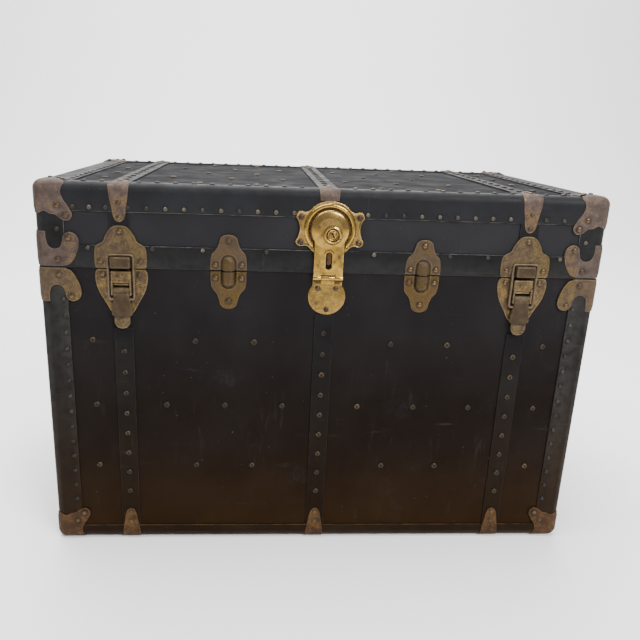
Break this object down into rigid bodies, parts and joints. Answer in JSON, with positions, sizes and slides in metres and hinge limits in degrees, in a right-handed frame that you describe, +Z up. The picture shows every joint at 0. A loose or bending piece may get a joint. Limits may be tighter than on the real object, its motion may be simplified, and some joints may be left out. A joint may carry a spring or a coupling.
{
  "type": "flat-top steamer trunk",
  "caption": "Flat-top steamer trunk: fibre-bound wooden box with hinged lid, stamped metal corners, draw bolts, hasp lock, end handles and lift-out tray.",
  "frame": {"origin": "on the floor, under the middle of the trunk's box", "axes": "+X to the trunk's right as seen from the front, +Y to the back, +Z up"},
  "size_m": [0.9976, 0.5521, 0.633],
  "materials": {
    "black_board": "satin",
    "black_fibre": "satin",
    "worn_steel": "worn",
    "polished_brass": "polished",
    "dark_steel": "satin",
    "brown_leather": "satin",
    "pine": "matte",
    "tray_board": "matte"
  },
  "bodies": {
    "trunk_body": {"bottom_board": "black_board", "front_board": "black_board", "back_board": "black_board", "left_end_board": "black_board", "right_end_board": "black_board", "body_binding": "black_fibre", "left_body_band": "black_fibre", "centre_body_band": "black_fibre", "right_body_band": "black_fibre", "front_left_bottom_corner": "worn_steel", "front_right_bottom_corner": "worn_steel", "back_left_bottom_corner": "worn_steel", "back_right_bottom_corner": "worn_steel", "front_left_body_clamp": "worn_steel", "front_right_body_clamp": "worn_steel", "back_left_body_clamp": "worn_steel", "back_right_body_clamp": "worn_steel", "left_latch_base": "worn_steel", "right_latch_base": "worn_steel", "left_dowel_socket": "worn_steel", "right_dowel_socket": "worn_steel", "hasp_plate": "polished_brass", "left_hinge_body_leaf": "worn_steel", "right_hinge_body_leaf": "worn_steel", "left_hinge_pin": "dark_steel", "right_hinge_pin": "dark_steel", "left_handle": "brown_leather", "right_handle": "brown_leather", "left_handle_plate": "worn_steel", "right_handle_plate": "worn_steel", "tray_ledge": "pine"},
    "lid": {"lid_top_board": "black_board", "lid_frame": "black_board", "lid_binding": "black_fibre", "left_lid_band": "black_fibre", "centre_lid_band": "black_fibre", "right_lid_band": "black_fibre", "front_left_lid_corner": "worn_steel", "front_right_lid_corner": "worn_steel", "back_left_lid_corner": "worn_steel", "back_right_lid_corner": "worn_steel", "front_left_lid_clamp": "worn_steel", "front_right_lid_clamp": "worn_steel", "back_left_lid_clamp": "worn_steel", "back_right_lid_clamp": "worn_steel", "left_latch_keeper": "worn_steel", "right_latch_keeper": "worn_steel", "left_dowel_pin": "worn_steel", "right_dowel_pin": "worn_steel", "lock_plate": "polished_brass", "left_hinge_lid_leaf": "worn_steel", "right_hinge_lid_leaf": "worn_steel"},
    "left_lever": {"left_latch_lever": "worn_steel"},
    "left_bail": {"left_latch_bail": "worn_steel"},
    "right_lever": {"right_latch_lever": "worn_steel"},
    "right_bail": {"right_latch_bail": "worn_steel"},
    "lock_hasp": {"hasp": "polished_brass"},
    "lock_cylinder": {"key_cylinder": "polished_brass"},
    "lock_slide": {"release_slide": "dark_steel"},
    "lift_out_tray": {"tray": "tray_board"}
  },
  "joints": [
    {"name": "lid_hinge", "type": "hinge", "parent": "trunk_body", "child": "lid", "pos_m": [0, 0.2701, 0.497], "axis": [-1, 0, 0], "range_deg": [0, 105]},
    {"name": "left_lever_swing", "type": "hinge", "parent": "trunk_body", "child": "left_lever", "pos_m": [-0.328, -0.2695, 0.462], "axis": [-1, 0, 0], "range_deg": [0, 130]},
    {"name": "left_bail_swing", "type": "hinge", "parent": "left_lever", "child": "left_bail", "pos_m": [-0.328, -0.2695, 0.447], "axis": [1, 0, 0], "range_deg": [0, 164]},
    {"name": "right_lever_swing", "type": "hinge", "parent": "trunk_body", "child": "right_lever", "pos_m": [0.328, -0.2695, 0.462], "axis": [-1, 0, 0], "range_deg": [0, 130]},
    {"name": "right_bail_swing", "type": "hinge", "parent": "right_lever", "child": "right_bail", "pos_m": [0.328, -0.2695, 0.447], "axis": [1, 0, 0], "range_deg": [0, 164]},
    {"name": "hasp_swing", "type": "hinge", "parent": "trunk_body", "child": "lock_hasp", "pos_m": [0.0025, -0.26822, 0.489], "axis": [1, 0, 0], "range_deg": [0, 150]},
    {"name": "key_turn", "type": "hinge", "parent": "lock_hasp", "child": "lock_cylinder", "pos_m": [0.0065, -0.2678, 0.56], "axis": [0, -1, 0], "range_deg": [0, 90]},
    {"name": "release_travel", "type": "slide", "parent": "lock_hasp", "child": "lock_slide", "axis": [0, 0, -1], "range_m": [0, 0.006]},
    {"name": "tray_lift", "type": "slide", "parent": "trunk_body", "child": "lift_out_tray", "axis": [0, 0, 1], "range_m": [0, 0.11]}
  ],
  "couplings": [
    {"joint": "left_bail_swing", "follows": "left_lever_swing", "ratio": 1.25},
    {"joint": "right_bail_swing", "follows": "right_lever_swing", "ratio": 1.25}
  ]
}
